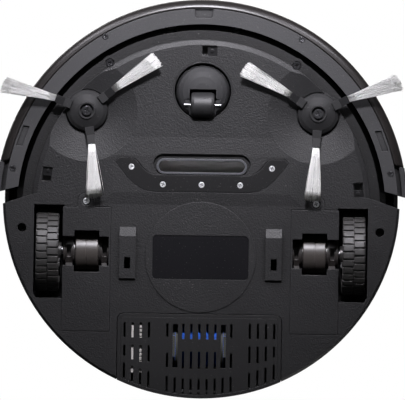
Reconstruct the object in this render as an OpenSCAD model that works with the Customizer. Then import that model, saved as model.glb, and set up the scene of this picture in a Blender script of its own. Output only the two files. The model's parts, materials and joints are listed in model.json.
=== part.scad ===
// Robot vacuum cleaner, standing on the floor.
// +Z is up and +Y is forward. The origin is on the floor under the middle of the round body.
// The robot's right side is +X. The left side mirrors it, apart from the sensors and brush angles.

/* [Body] */
// Outer radius of the rear body
body_r = 149; // [148:0.1:149]
// Outer radius of the front body, behind the bumper
front_r = 134.5; // [134:0.1:135]
// How far behind the origin the front body's arcs are centred
front_back = 7; // [6.5:0.1:7.5]
// Height of the underside above the floor
under_z = 10; // [9.8:0.1:10.2]
// Thickness of the underside
floor_t = 3; // [2.8:0.1:3.2]
// Thickness of the outer walls
wall = 2.5; // [2:0.1:2.8]
// Height at which the lower and upper housings meet
split_z = 40; // [39.5:0.1:40.5]
// Height of the whole machine
total_h = 78; // [77.6:0.1:79]

/* [Bumper] */
// Outer radius of the bumper
bumper_r = 155; // [154.6:0.1:155.4]
// How far behind the origin the bumper's arcs are centred
bumper_back = 4; // [3.8:0.1:4.2]
// Height of the bumper's lower edge
bumper_z = 13; // [12.8:0.1:13.2]
// Height of the bumper's upper edge
bumper_top = 64.5; // [64:0.1:64.8]

/* [Side brushes] */
// Sideways distance of each brush from the middle
brush_x = 86.8; // [86:0.1:87]
// Forward distance of each brush from the middle
brush_y = 65.8; // [65:0.1:66]
// Radius of the brush at its tips
brush_r = 66.5; // [64:0.5:67]
// Angle of the right brush's first arm
right_brush_angle = 21; // [0:1:119]
// Angle of the left brush's first arm, seen in a mirror
left_brush_angle = 27; // [0:1:119]

/* [Caster] */
// Forward distance of the caster's pivot
caster_y = 81.5; // [81:0.1:82]
// Radius of the caster wheel
caster_wheel_r = 9.5; // [9.3:0.1:9.6]
// Trail of the caster wheel behind its pivot
caster_trail = 10.2; // [9.8:0.1:10.3]

/* [Drive wheels] */
// Radius of the tyre
wheel_r = 31; // [30.5:0.1:31]
// Width of the tyre
wheel_w = 17; // [16:0.1:17.2]
// Sideways distance of the middle of each wheel
wheel_x = 115; // [114.9:0.1:115.1]
// Forward distance of the wheel axle
wheel_y = -39.3; // [-39.6:0.1:-39]

/* [Dust bin] */
// Width of the dust bin
bin_w = 123; // [121:0.1:123]
// Forward distance of the bin's front face
bin_y = -85.8; // [-86.5:0.1:-85.8]
// Width of one grille slot
slot_w = 1.65; // [1.2:0.05:2]

/* [Hidden] */

$fn = 96;
eps = 0.05;                       // play between pieces that only sit together
far = 400;                        // larger than anything in the machine

// Heights
floor_z = under_z + floor_t;      // top of the underside
deck_z = 65;                      // underside of the deck that closes the upper housing
deck_step_z = 65.95;              // where the deck steps in under the top cover
deck_top = 67.5;                  // top of the deck
cover_z = 66;                     // lower edge of the top cover
cover_in_z = total_h - 3.5;       // underside of the top cover
panel_z = total_h - 1.2;          // underside of the round top panel

// Front body: a light bevel, a step up that the bumper shades, and an upright wall
bevel_r = front_r - 11;
edge_r = front_r - 7.5;
bevel_z = under_z + 1.3;
step_z = under_z + 8;

// Dust bin and its bay
bay_gap = 0.5;
bin_corner = 5;
bin_top = 64.5;
bin_t = 2;
bin_half = bin_w / 2;
bay_half = bin_half + bay_gap;
bay_y = bin_y + bay_gap;
flap_z = 57;                      // hinge line of the flap behind the bin's mouth

// Suction inlet
inlet_z = under_z - 0.6;          // face of the raised inlet platform
inlet_y = 25;                     // middle of the suction mouth
lip_z = inlet_z - 0.5;
plate_t = 1.25;
duct_w = 68;
duct_t = 1.6;
duct_z = [41, 53];                // inside of the level part of the duct

// Wheel module
cover_x = [68, 103.5];
cover_y = [-99.5, -6.5];
cover_t = 2;
well_x = [102, 125.5];
well_y = [-75.5, -5];
well_r = 144.5;
bay_t = 1.5;
bay_roof = 63.4;
pivot_y = -92;
pivot_z = 24;
pivot_r = 2.5;
run = 0.06;                       // running clearance on a radius
barrel_r = 14.6;
barrel_x = [76.9, 94.1];
sleeve_r = 9.5;
axle_r = 3;
spring_x = 86;
spring_y = -65;
spring_z = 40;

// Side brush drive
hub_r = 15.6;
arm_r = 25;
dish_r = 38;
gear_m = 0.7;
gear_teeth = 36;
pinion_teeth = 16;
gear_gap = gear_m * (gear_teeth + pinion_teeth) / 2 + 0.05;
pinion_dir = [-0.766, -0.643];
pinion_x = brush_x + gear_gap * pinion_dir[0];
pinion_y = brush_y + gear_gap * pinion_dir[1];
gear_z = [23, 28];
gearbox_z = step_z + 2.5;
gearbox_top = gear_z[1] + 4;
tuft_lean = [[-5, 2.5, 3.5], [-6, 3, 0]];    // how far each tuft of the right and left brush bends, degrees

// Fan
fan_y = -110;
fan_z = 30;
fan_r = 16;

// Power switch on the right of the rear wall, and the charging jack mirrored on the left
switch_turn = -54;
switch_z = 50;
rocker_pivot = 144.3;

// Screws under the body, as [x, y]
inlet_screws = [[52.7, 24.2], [-52.7, 24.2], [29, 11.3], [-29, 11.3], [0, 11.3]];
tab_screw = [86.2, -2];
side_screw = [134.3, -22.5];
front_screw = [70.3, 102];

// ---------- building blocks ----------

module box(x, y, z) {
    translate([x[0], y[0], z[0]]) cube([x[1] - x[0], y[1] - y[0], z[1] - z[0]]);
}

module disc(r, z, at = [0, 0]) {
    translate([at[0], at[1], z[0]]) cylinder(r = r, h = z[1] - z[0]);
}

module slab(z) {
    translate([0, 0, z[0]]) linear_extrude(z[1] - z[0]) children();
}

// An outline in (y, z), drawn out along X
module along_x(x) {
    translate([x[0], 0, 0]) rotate([90, 0, 90]) linear_extrude(x[1] - x[0]) children();
}

// A round bar along X
module bar(r, x, at) {
    translate([x[0], at[0], at[1]]) rotate([0, 90, 0]) cylinder(r = r, h = x[1] - x[0]);
}

// A turned shape about X, from (radius, x) points
module turned_x(points, at) {
    translate([0, at[0], at[1]]) rotate([0, 90, 0]) rotate_extrude() polygon(points);
}

module turned(points, at = [0, 0]) {
    translate([at[0], at[1], 0]) rotate_extrude() polygon(points);
}

module rect(x, y) {
    translate([x[0], y[0]]) square([x[1] - x[0], y[1] - y[0]]);
}

// A slot with round ends along X
module stadium(length, height) {
    square([length - height, height], center = true);
    for (side = [-1, 1]) translate([side * (length - height) / 2, 0]) circle(d = height);
}

module round_rect(size, r) {
    square([size[0] - 2 * r, size[1]], center = true);
    square([size[0], size[1] - 2 * r], center = true);
    for (x = [-1, 1], y = [-1, 1]) {
        translate([x * (size[0] / 2 - r), y * (size[1] / 2 - r)]) circle(r = r);
    }
}

// The same thing on the right (1) or mirrored to the left (-1)
module on_side(side) {
    if (side > 0) children();
    else mirror([1, 0, 0]) children();
}

module both_sides() {
    children();
    mirror([1, 0, 0]) children();
}

// Outline of a spur gear with straight-sided teeth, one tooth on +X
function gear_point(teeth, i) =
    let(pitch_r = gear_m * teeth / 2, step = 360 / teeth, k = i % 4,
        r = pitch_r + gear_m * (k == 1 || k == 2 ? 0.9 : -1.15),
        turn = [-0.32, -0.11, 0.11, 0.32][k] * step + floor(i / 4) * step)
    r * [cos(turn), sin(turn)];

module gear(teeth) {
    polygon([for (i = [0:4 * teeth - 1]) gear_point(teeth, i)]);
}

// ---------- plans ----------

// Everything behind the slanted shoulders that end the bumper
module rear_plan(back) {
    slope = 0.33;
    inner_x = 125.5;
    shoulder_y = 3 - back;
    outer_y = shoulder_y - slope * (170 - inner_x);
    polygon([
        [-170, -170], [170, -170], [170, outer_y], [inner_x, shoulder_y],
        [-inner_x, shoulder_y], [-170, outer_y]
    ]);
}

module front_turned(points) {
    turned(points, [0, -front_back]);
}

module bay_plan() {
    corner = bin_corner + bay_gap;
    rect([-bay_half, bay_half], [-far / 2, bay_y - corner]);
    rect([-bay_half + corner, bay_half - corner], [-far / 2, bay_y]);
    for (side = [-1, 1]) translate([side * (bay_half - corner), bay_y - corner]) circle(r = corner);
}

module bin_plan(inset) {
    corner = bin_corner - inset;
    half = bin_half - inset;
    top = bin_y - inset;
    intersection() {
        circle(r = body_r - inset);
        union() {
            rect([-half, half], [-160, top - corner]);
            rect([-half + corner, half - corner], [-160, top]);
            for (side = [-1, 1]) translate([side * (half - corner), top - corner]) circle(r = corner);
        }
    }
}

module cover_plan(gap) {
    rect([cover_x[0] - gap, cover_x[1] + gap], [cover_y[0] - gap, cover_y[1] + gap]);
}

module tab_plan(gap) {
    rect([80 - gap, 92.4 + gap], [cover_y[1] - 1, tab_screw[1]]);
    translate(tab_screw) circle(r = 6.2 + gap);
}

module wheel_well_plan() {
    intersection() {
        rect([cover_x[1] - 1, well_x[1] - 0.2], [well_y[0] + 0.3, well_y[1]]);
        circle(r = well_r);
    }
}

// The cross-shaped window under the gearmotor
module motor_window() {
    rect([76, 95], [-55.2, -24]);
    rect([68.9, cover_x[1] + 1], [-50.5, -28.5]);
}

module module_bay_plan(t) {
    intersection() {
        union() {
            rect([cover_x[0] - t, cover_x[1] + t], [cover_y[0] - t, cover_y[1] + t]);
            rect([well_x[0] - t, well_x[1] + t], [well_y[0] - t, well_y[1] + t]);
        }
        circle(r = well_r - 0.2 + t * 0.95);
    }
}

// ---------- underside ----------

module body_outer() {
    front_turned([
        [0, under_z], [bevel_r, under_z], [edge_r, bevel_z], [edge_r + 0.4, step_z],
        [front_r, step_z], [front_r, split_z], [0, split_z]
    ]);
    intersection() {
        turned([
            [0, under_z], [body_r - 2, under_z], [body_r, under_z + 2],
            [body_r, split_z], [0, split_z]
        ]);
        slab([0, split_z + 1]) rear_plan(0);
    }
}

module body_cavity() {
    front_turned([
        [0, floor_z], [edge_r - 2.2, floor_z], [edge_r - 2.2, step_z + wall],
        [front_r - wall, step_z + wall], [front_r - wall, split_z + 1], [0, split_z + 1]
    ]);
    slab([floor_z, split_z + 1]) intersection() {
        circle(r = body_r - wall);
        rear_plan(wall);
    }
}

// Raised area that carries the suction mouth
module inlet_platform() {
    intersection() {
        along_x([-80, 80]) polygon([
            [-4, under_z], [5, inlet_z], [33, inlet_z], [47, under_z],
            [47, under_z + 1], [-4, under_z + 1]
        ]);
        translate([0, 60, 0]) rotate([90, 0, 0]) linear_extrude(80) polygon([
            [-76, under_z], [-66.5, inlet_z], [66.5, inlet_z], [76, under_z],
            [76, under_z + 1], [-76, under_z + 1]
        ]);
    }
}

module inlet_plate_plan(gap) {
    half = [
        [0, 6 - gap], [36, 6 - gap], [43, 7.2 - gap], [50, 11 - gap], [55.5, 16 - gap],
        [65 + gap, 28.2], [62 + gap, 31 + gap], [51.5, 31 + gap], [48.5 - gap, 28.5 + gap],
        [44 - gap, 23 + gap], [40, 20 + gap], [35.5, 18.5], [0, 18.5]
    ];
    other_half = [for (i = [len(half) - 2:-1:1]) [-half[i][0], half[i][1]]];
    polygon(concat(half, other_half));
}

module inlet_recess_plan() {
    translate([0, 26.4]) stadium(73, 15.8);
}

// Skid pad with a steep front and the slot that a mop bracket hooks into
module skid_pad() {
    pad_z = under_z - 2.2;
    along_x([48.7, 61]) polygon([
        [-60.5, under_z], [-59.5, pad_z], [-27.8, pad_z], [-21, under_z],
        [-21, under_z + 1], [-60.5, under_z + 1]
    ]);
}

module brush_boss() {
    intersection() {
        disc(dish_r + 1.5, [under_z, 17], [brush_x, brush_y]);
        body_outer();
    }
    disc(16.5, [16, gearbox_z], [brush_x, brush_y]);
    disc(9.2, [16, gearbox_z], [pinion_x, pinion_y]);
    disc(5.5, [16, gearbox_z + 1.5], [brush_x, brush_y]);
}

module brush_dish() {
    turned([
        [0, 0], [dish_r, 0], [dish_r, under_z], [17, under_z + 3.5], [hub_r + 1, under_z + 3.5],
        [hub_r + 1, under_z + 4.5], [0, under_z + 4.5]
    ], [brush_x, brush_y]);
    disc(axle_r + run, [under_z, 25], [brush_x, brush_y]);
}

module bay_walls(z) {
    slab(z) intersection() {
        circle(r = body_r - 1);
        difference() {
            rect([-bay_half - 2, bay_half + 2], [-far / 2, bay_y + 2]);
            bay_plan();
        }
    }
}

module duct_window() {
    box([-duct_w / 2 + duct_t, duct_w / 2 - duct_t], [bay_y - 1, bay_y + 3], duct_z);
}

module cliff_plan(gap) {
    translate([-4.7, 111.9]) square([11.3 + gap, 7.7 + gap], center = true);
    translate([116, 17.7]) rotate(5) square([7.3 + gap, 11 + gap], center = true);
    translate([-117.8, 9]) rotate(-5) square([7.3 + gap, 11 + gap], center = true);
}

module bottom_chassis() {
    screw_r = 1.2;
    color([0.24, 0.25, 0.27]) difference() {
        union() {
            difference() {
                body_outer();
                body_cavity();
            }
            inlet_platform();
            disc(41.5, [under_z - 0.5, under_z + 1], [0, -43]);
            both_sides() {
                skid_pad();
                brush_boss();
                disc(5.2, [under_z + 1, 24], side_screw);
                disc(5.5, [step_z, 24], front_screw);
                disc(2.9, [under_z + 2, 20], tab_screw);
            }
            for (at = inlet_screws) disc(3, [under_z + 1, 18], at);
            bay_walls([under_z + 1, split_z]);
        }
        // Suction inlet
        slab([0, under_z + 2]) inlet_recess_plan();
        slab([0, inlet_z + plate_t]) inlet_plate_plan(0.4);
        slab([0, far / 2]) translate([0, inlet_y]) stadium(67.7, 11.7);
        for (at = inlet_screws) disc(screw_r, [0, 17], at);
        // Label recess, caster, sensors and bin bay
        slab([0, under_z + 0.2]) translate([0, -43.2]) round_rect([72.4, 32.9], 3.2);
        disc(22.5, [0, floor_z + 1], [0, caster_y]);
        slab([0, floor_z + 1]) cliff_plan(0);
        slab([0, far / 2]) bay_plan();
        duct_window();
        both_sides() {
            brush_dish();
            box([52.7, 57.3], [-52.3, -43.7], [0, floor_z + 1]);
            slab([0, under_z + cover_t + eps]) {
                cover_plan(0.45);
                tab_plan(0.45);
            }
            slab([0, floor_z + 1]) {
                cover_plan(-0.8);
                wheel_well_plan();
            }
            disc(3.3, [0, 20], side_screw);
            disc(screw_r, [0, 23], side_screw);
            disc(3.4, [0, 20], front_screw);
            disc(screw_r, [0, 23], front_screw);
            disc(screw_r, [0, 19], tab_screw);
        }
    }
}

module inlet_plate() {
    color([0.17, 0.17, 0.18]) difference() {
        slab([inlet_z, inlet_z + plate_t]) inlet_plate_plan(0);
        for (at = inlet_screws) {
            disc(2.3, [0, inlet_z + 0.7], at);
            disc(1.2, [0, far / 2], at);
        }
    }
}

module inlet_lip() {
    color([0.55, 0.56, 0.57]) slab([lip_z, floor_z]) translate([0, inlet_y]) difference() {
        stadium(67.6, 11.6);
        stadium(64.6, 8.7);
    }
}

module suction_duct() {
    half = duct_w / 2;
    color([0.4, 0.41, 0.42]) difference() {
        along_x([-half, half]) polygon([
            [18.6, floor_z + eps], [31.4, floor_z + eps], [31.4, 18.8], [9, 46.3], [1, duct_z[1] + duct_t],
            [bay_y + 2.1, duct_z[1] + duct_t], [bay_y + 2.1, duct_z[0] - duct_t],
            [-0.6, duct_z[0] - duct_t], [18.6, 17.4]
        ]);
        along_x([-half + duct_t, half - duct_t]) polygon([
            [20.2, floor_z - 1], [29.8, floor_z - 1], [29.8, 18], [8, 45], [0, duct_z[1]],
            [bay_y, duct_z[1]], [bay_y, duct_z[0]], [0, duct_z[0]], [20.2, 18]
        ]);
    }
}

module wheel_cover(side) {
    color([0.22, 0.23, 0.25]) on_side(side) difference() {
        slab([under_z, under_z + cover_t]) difference() {
            union() {
                cover_plan(0);
                tab_plan(0);
            }
            motor_window();
        }
        disc(3.5, [0, under_z + 1], tab_screw);
        disc(1.2, [0, far / 2], tab_screw);
    }
}

module wheel_bay(side) {
    color([0.3, 0.31, 0.33]) on_side(side) difference() {
        slab([floor_z + eps, bay_roof + bay_t]) module_bay_plan(bay_t);
        slab([0, bay_roof]) module_bay_plan(0);
        bar(pivot_r, [0, 120], [pivot_y, pivot_z]);
    }
}

module cliff_sensors() {
    cliff_z = under_z + 1.8;
    color([0.12, 0.12, 0.13]) difference() {
        slab([cliff_z, 20]) cliff_plan(-0.3);
        box([-3.2, 0.6], [108.6, 115.2], [0, 18]);
        translate([116, 17.7]) rotate(5) box([-3, 3], [-4.9, -1.2], [0, 18]);
        translate([-117.8, 9]) rotate(-5) box([-3, 3], [0, 4.9], [0, 18]);
    }
    color([0.75, 0.77, 0.8]) {
        disc(1.3, [cliff_z - 0.6, cliff_z + 0.5], [-6.6, 112]);
        disc(1.3, [cliff_z - 0.6, cliff_z + 0.5], [115.6, 20.4]);
        disc(1.3, [cliff_z - 0.6, cliff_z + 0.5], [-117.6, 6.4]);
    }
}

module rating_label() {
    color([0.06, 0.06, 0.07]) slab([under_z - 0.1, under_z + 0.2]) translate([0, -43.2]) {
        round_rect([72, 32.5], 3);
    }
}

// A pan-head screw standing on its head at z, with a cross recess
module screw(at, z, head_r, head_h, shank) {
    difference() {
        union() {
            disc(head_r, [z - head_h, z], at);
            disc(1.2, [z - eps, z + shank], at);
        }
        translate([at[0], at[1], z - head_h - 1]) for (turn = [20, 110]) rotate(turn) {
            translate([-head_r * 0.62, -0.35, 0]) cube([head_r * 1.24, 0.7, 1 + head_h * 0.5]);
        }
    }
}

module chassis_screws() {
    color([0.78, 0.78, 0.8]) {
        for (at = inlet_screws) screw(at, inlet_z + 0.7, 2.15, 0.85, 6);
        both_sides() {
            screw(tab_screw, under_z + 1, 2.4, 1.2, 7);
            screw(side_screw, 20, 2.8, 1.6, 3);
            screw(front_screw, 20, 2.8, 1.6, 3);
        }
    }
}

// ---------- upper body ----------

module upper_housing() {
    color([0.16, 0.16, 0.17]) {
        difference() {
            union() {
                difference() {
                    slab([split_z + eps, deck_step_z]) {
                        translate([0, -front_back]) circle(r = front_r);
                        intersection() {
                            circle(r = body_r);
                            rear_plan(0);
                        }
                    }
                    slab([split_z - 1, deck_z]) {
                        translate([0, -front_back]) circle(r = front_r - wall);
                        intersection() {
                            circle(r = body_r - wall);
                            rear_plan(wall);
                        }
                    }
                }
                slab([deck_z, deck_top]) {
                    translate([0, -front_back]) circle(r = front_r);
                    intersection() {
                        circle(r = body_r - 2.7);
                        rear_plan(0);
                    }
                }
                bay_walls([split_z + eps, deck_z + 0.5]);
                for (x = [-55, 55], y = [-14, 69]) disc(3, [58.6, deck_z + 0.5], [x, y]);
                disc(4, [deck_top - 0.5, 69], [0, 60]);
                rotate(switch_turn) switch_lugs();
            }
            slab([0, deck_z]) bay_plan();
            duct_window();
            rotate(switch_turn) box([130, 160], [-8, 8], [switch_z - 5.5, switch_z + 5.5]);
            rotate(switch_turn) disc(1.2 + run, [switch_z - 8, switch_z + 8], [rocker_pivot, 0]);
            rotate(180 - switch_turn) jack_hole();
        }
    }
}

// The lugs that hold the rocker's trunnions
module switch_lugs() {
    for (z = [switch_z - 7.5, switch_z + 5.5]) box([140.5, 147], [-4, 4], [z, z + 2]);
}

module jack_hole() {
    translate([130, 0, switch_z]) rotate([0, 90, 0]) cylinder(r = 4.5, h = 30);
}

module top_cover() {
    outer = body_r + 0.5;
    inner = body_r - 2.5;
    panel_r = 112;
    color([0.1, 0.1, 0.11]) difference() {
        union() {
            difference() {
                turned([
                    [0, panel_z], [panel_r, panel_z], [panel_r, total_h], [outer - 6, total_h],
                    [outer - 3.7, total_h - 0.46], [outer - 1.76, total_h - 1.76],
                    [outer - 0.46, total_h - 3.7], [outer, total_h - 6], [outer, cover_z], [0, cover_z]
                ]);
                turned([
                    [0, cover_z - 1], [inner, cover_z - 1], [inner, total_h - 8], [inner - 6, cover_in_z],
                    [0, cover_in_z]
                ]);
            }
            for (x = [-80, 80], y = [-80, 60]) disc(4, [deck_top + eps, cover_in_z + 1], [x, y]);
        }
        disc(15, [cover_z, total_h + 1], [0, 60]);
    }
}

module top_panel() {
    color([0.05, 0.05, 0.06]) difference() {
        disc(111.8, [panel_z, total_h]);
        disc(13.3, [panel_z - 1, total_h + 1], [0, 60]);
    }
}

module start_button() {
    color([0.75, 0.76, 0.78]) {
        disc(13, [panel_z - 0.5, total_h], [0, 60]);
        disc(14.3, [panel_z - 1.7, panel_z - 0.5], [0, 60]);
        disc(3, [70.2, panel_z - 1.6], [0, 60]);
    }
}

module power_rocker() {
    color([0.6, 0.08, 0.08]) rotate(switch_turn) translate([rocker_pivot, 0, 0]) rotate(-6) {
        slab([switch_z - 5.1, switch_z + 5.1]) {
            polygon([[-2, -4], [2.6, -7.3], [3.3, 0], [2.6, 7.3], [-2, 4]]);
        }
        disc(1.2, [switch_z - 7.2, switch_z + 7.2]);
    }
}

module dc_jack() {
    color([0.08, 0.08, 0.09]) rotate(180 - switch_turn) translate([0, 0, switch_z]) rotate([0, 90, 0]) {
        difference() {
            translate([0, 0, 134]) cylinder(r = 4.4, h = 14);
            translate([0, 0, 138]) cylinder(r = 2.75, h = 12);
        }
        translate([0, 0, 137.5]) cylinder(r = 0.9, h = 9);
    }
}

// ---------- inside ----------

module battery_pack() {
    color([0.2, 0.35, 0.6]) slab([floor_z + eps, 33]) translate([0, -50]) round_rect([72, 56], 3);
}

module main_board() {
    color([0.1, 0.4, 0.2]) difference() {
        union() {
            box([-60, 60], [-20, 75], [57, 58.55]);
            box([-12, 12], [20, 44], [55.2, 57]);
            box([-50, -20], [50, 70], [55, 57]);
            for (x = [25:10:55]) disc(4, [58.5, 63.5], [x, 5]);
        }
        box([-9, 9], [70, 80], [50, 60]);
    }
}

module brush_gearbox(side) {
    color([0.45, 0.46, 0.48]) on_side(side) difference() {
        union() {
            disc(15.8, [gearbox_z + eps, gearbox_top], [brush_x, brush_y]);
            disc(8.5, [gearbox_z + eps, gearbox_top], [pinion_x, pinion_y]);
        }
        disc(14.3, [0, gearbox_top - 1.5], [brush_x, brush_y]);
        disc(7, [0, gearbox_top - 1.5], [pinion_x, pinion_y]);
        disc(1.6, [0, gearbox_top + 1], [pinion_x, pinion_y]);
    }
}

module brush_motors() {
    color([0.7, 0.71, 0.73]) both_sides() difference() {
        union() {
            disc(10, [gearbox_top + eps, 52], [pinion_x, pinion_y]);
            disc(4, [52, 54], [pinion_x, pinion_y]);
        }
        disc(1 + run, [gearbox_top, gearbox_top + 6], [pinion_x, pinion_y]);
    }
}

module brush_pinion(side) {
    back = atan2(-pinion_dir[1], -pinion_dir[0]);
    half_tooth = 180 / pinion_teeth;
    color([0.85, 0.83, 0.75]) on_side(side) translate([pinion_x, pinion_y, 0]) {
        slab(gear_z) rotate(back + half_tooth) gear(pinion_teeth);
        disc(1, [gear_z[1], gearbox_top + 5]);
    }
}

module pivot_pins() {
    color([0.72, 0.73, 0.75]) both_sides() {
        bar(pivot_r, [cover_x[0] - bay_t + 0.1, cover_x[1] + bay_t - 0.1], [pivot_y, pivot_z]);
    }
}

// A coil spring drawn as a stack of rings joined by a thin sleeve
module coil_spring(r, wire_r, length, rings) {
    pitch = (length - 2 * wire_r) / (rings - 1);
    for (i = [0:rings - 1]) translate([0, 0, wire_r + i * pitch]) {
        rotate_extrude() translate([r - wire_r, 0]) circle(r = wire_r, $fn = 24);
    }
    difference() {
        cylinder(r = r - wire_r + 0.15, h = length);
        translate([0, 0, -1]) cylinder(r = r - wire_r - 0.15, h = length + 2);
    }
}

module suspension_spring(side) {
    color([0.8, 0.8, 0.82]) on_side(side) translate([spring_x, spring_y, spring_z + eps]) {
        coil_spring(5, 0.5, bay_roof - spring_z - 2 * eps, 9);
    }
}

module bumper_springs() {
    spring_side = 25;
    back_y = sqrt(pow(front_r, 2) - pow(spring_side - 4, 2)) - front_back + eps;
    front_y = sqrt(pow(bumper_r - 6, 2) - pow(spring_side + 4, 2)) - bumper_back - eps;
    color([0.8, 0.8, 0.82]) both_sides() translate([spring_side, back_y, 45]) rotate([-90, 0, 0]) {
        coil_spring(4, 0.4, front_y - back_y, 7);
    }
}

// ---------- bumper ----------

module bumper_plan(side_y) {
    far_x = 170;
    near_x = 100;
    polygon([
        [far_x, 5 - (far_x - 150.5) * 0.25 + side_y], [134, 9.1 + side_y], [near_x, 30 + side_y],
        [-near_x, 30 + side_y], [-134, 9.1 + side_y],
        [-far_x, 5 - (far_x - 150.5) * 0.25 + side_y], [-far_x, 170], [far_x, 170]
    ]);
}

bumper_screw_spots = [[74, 121.4], [142, 21.5]];

module flange_window() {
    slab([bumper_z - 1, bumper_z + 1.2]) {
        polygon([[-5.5, 136.6], [5.5, 136.6], [7, 138], [7, 143.3], [-7, 143.3], [-7, 138]]);
        both_sides_flat() polygon([[134.5, 54], [129.5, 53.5], [135, 38.5], [140, 39]]);
    }
}

module both_sides_flat() {
    children();
    mirror([1, 0]) children();
}

module bumper_frame() {
    wall_r = bumper_r - 3.6;
    flange_r = bumper_r - 7.4;
    ledge_r = bumper_r - 13;
    color([0.42, 0.43, 0.44]) difference() {
        union() {
            intersection() {
                turned([
                    [100, bumper_z], [flange_r, bumper_z], [flange_r, bumper_z + 4.2],
                    [wall_r, bumper_z + 5.5], [wall_r, bumper_top], [ledge_r, bumper_top],
                    [ledge_r, bumper_top - 2], [wall_r - 2.4, bumper_top - 2], [wall_r - 2.4, bumper_z + 5.5],
                    [flange_r - 1.3, bumper_z + 4.5], [flange_r - 1.3, bumper_z + 2], [100, bumper_z + 2]
                ], [0, -bumper_back]);
                slab([0, far / 4]) difference() {
                    bumper_plan(0);
                    translate([0, -6.4]) circle(r = 138.4);
                }
            }
            // The ends, where the glossy strip stops
            intersection() {
                turned([
                    [wall_r - 0.1, bumper_z + 5.5], [wall_r - 0.1, bumper_z + 3], [bumper_r - 1, bumper_z + 3],
                    [bumper_r + 0.3, bumper_z + 5], [bumper_r + 0.3, 62], [bumper_r - 1, bumper_top],
                    [wall_r - 0.1, bumper_top]
                ], [0, -bumper_back]);
                slab([0, far / 4]) difference() {
                    bumper_plan(0);
                    bumper_plan(21.8);
                }
            }
        }
        flange_window();
        both_sides() {
            for (at = bumper_screw_spots) {
                disc(2.4, [0, bumper_z + 1], at);
                disc(1.2, [0, bumper_z + 3], at);
            }
        }
    }
}

module bumper_fascia() {
    r = bumper_r;
    color([0.09, 0.08, 0.08]) intersection() {
        turned([
            [r - 7.1, bumper_z + 0.2], [r - 4.4, bumper_z + 0.9], [r - 1.7, bumper_z + 2.6],
            [r - 0.5, bumper_z + 5.4], [r, 22], [r, 58], [r - 0.7, 62], [r - 2, bumper_top],
            [r - 3.5, bumper_top], [r - 3.5, bumper_z + 5.2], [r - 7.1, bumper_z + 3.6]
        ], [0, -bumper_back]);
        slab([0, far / 4]) bumper_plan(22);
    }
}

module bumper_screws() {
    color([0.75, 0.76, 0.78]) both_sides() {
        for (at = bumper_screw_spots) screw(at, bumper_z + 1, 2.2, 0.9, 1.5);
    }
}

// ---------- caster ----------

module caster_socket() {
    at = [0, caster_y];
    color([0.18, 0.18, 0.2]) difference() {
        union() {
            disc(22.3, [under_z + 0.3, 27], at);
            disc(24, [floor_z + eps, 15.5], at);
            disc(7, [26, 34], at);
        }
        disc(21.3, [0, 25], at);
        disc(4 + run, [0, 40], at);
    }
}

module caster_turret() {
    axle_y = -caster_trail;
    axle_z = caster_wheel_r;
    color([0.2, 0.2, 0.22]) translate([0, caster_y, 0]) difference() {
        union() {
            turned([
                [0, 7], [6, 7.2], [11, 7.9], [15, 9.2], [18, 11.1], [19.6, 13.4], [20.2, 15.5],
                [20.2, 23], [19.7, 24], [0, 24]
            ]);
            disc(4, [23, 34]);
        }
        box([-10, 10], [-30, 1.5], [0, 20.5]);
        bar(1.05, [-14.1, 14.1], [axle_y, axle_z]);
        box([-14, 14], [axle_y - 0.95, axle_y + 0.95], [0, axle_z]);
        for (x = [-10.7, 10.7]) disc(4.6, [0, axle_z - 0.2], [x, axle_y]);
    }
}

module caster_axle() {
    color([0.78, 0.79, 0.8]) bar(1, [-14, 14], [caster_y - caster_trail, caster_wheel_r]);
}

module caster_wheel() {
    r = caster_wheel_r;
    color([0.13, 0.13, 0.14]) turned_x([
        [1 + run, -9], [r - 2.5, -9], [r - 0.75, -8.25], [r, -6.5], [r, 6.5], [r - 0.75, 8.25],
        [r - 2.5, 9], [1 + run, 9]
    ], [caster_y - caster_trail, caster_wheel_r]);
}

// ---------- side brushes ----------

// Places something at a side brush's centre, turned to one of its three arms
module at_arm(side, i) {
    first = side > 0 ? right_brush_angle : left_brush_angle;
    on_side(side) translate([brush_x, brush_y, 0]) rotate(first + 120 * i) children();
}

module brush_hub(side) {
    color([0.2, 0.2, 0.21]) {
        on_side(side) turned([
            [2.1, 13.6], [hub_r - 0.3, 13.6], [hub_r, 12.2], [15, 10.6], [12.4, 8.6], [8.5, 7],
            [6.7, 6.4], [6.3, 5.4], [5.3, 5.4], [5.2, 8.4], [2.1, 8.4]
        ], [brush_x, brush_y]);
        for (i = [0:2]) at_arm(side, i) {
            box([12.5, 18], [-3.3, 3.3], [6.5, 10]);
            arm_end();
        }
    }
}

// The flexible end of an arm, leaning down to the tuft
module arm_end() {
    translate([0, 3, 0]) rotate([90, 0, 0]) linear_extrude(6) polygon([
        [17.5, 6.7], [17.5, 9.6], [arm_r, 7.9], [arm_r, 5]
    ]);
}

module brush_bristles(side) {
    root = arm_r + eps;
    for (i = [0:2]) {
        middle = brush_r * tan(tuft_lean[side > 0 ? 0 : 1][i]);
        color([0.82, 0.82, 0.8]) at_arm(side, i) intersection() {
            translate([0, 20, 0]) rotate([90, 0, 0]) linear_extrude(40) polygon([
                [root, 5.3], [root, 7.5], [brush_r, 2], [brush_r, 1]
            ]);
            slab([0, 20]) intersection() {
                polygon([
                    [root, -2.5], [brush_r, middle - 6.5], [brush_r, middle + 6.5], [root, 2.5]
                ]);
                circle(r = brush_r + 0.5);
            }
        }
    }
}

module brush_screw(side) {
    color([0.8, 0.8, 0.82]) on_side(side) screw([brush_x, brush_y], 8.4, 3.6, 1.9, 4.5);
}

module brush_spindle(side) {
    toward = atan2(pinion_dir[1], pinion_dir[0]);
    color([0.85, 0.83, 0.75]) on_side(side) translate([brush_x, brush_y, 0]) difference() {
        union() {
            disc(2.1, [8.4, 14]);
            disc(axle_r, [13.6, gear_z[1] + 1]);
            slab(gear_z) rotate(toward) gear(gear_teeth);
        }
        disc(1.2, [0, 14]);
    }
}

// ---------- drive units ----------

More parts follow.
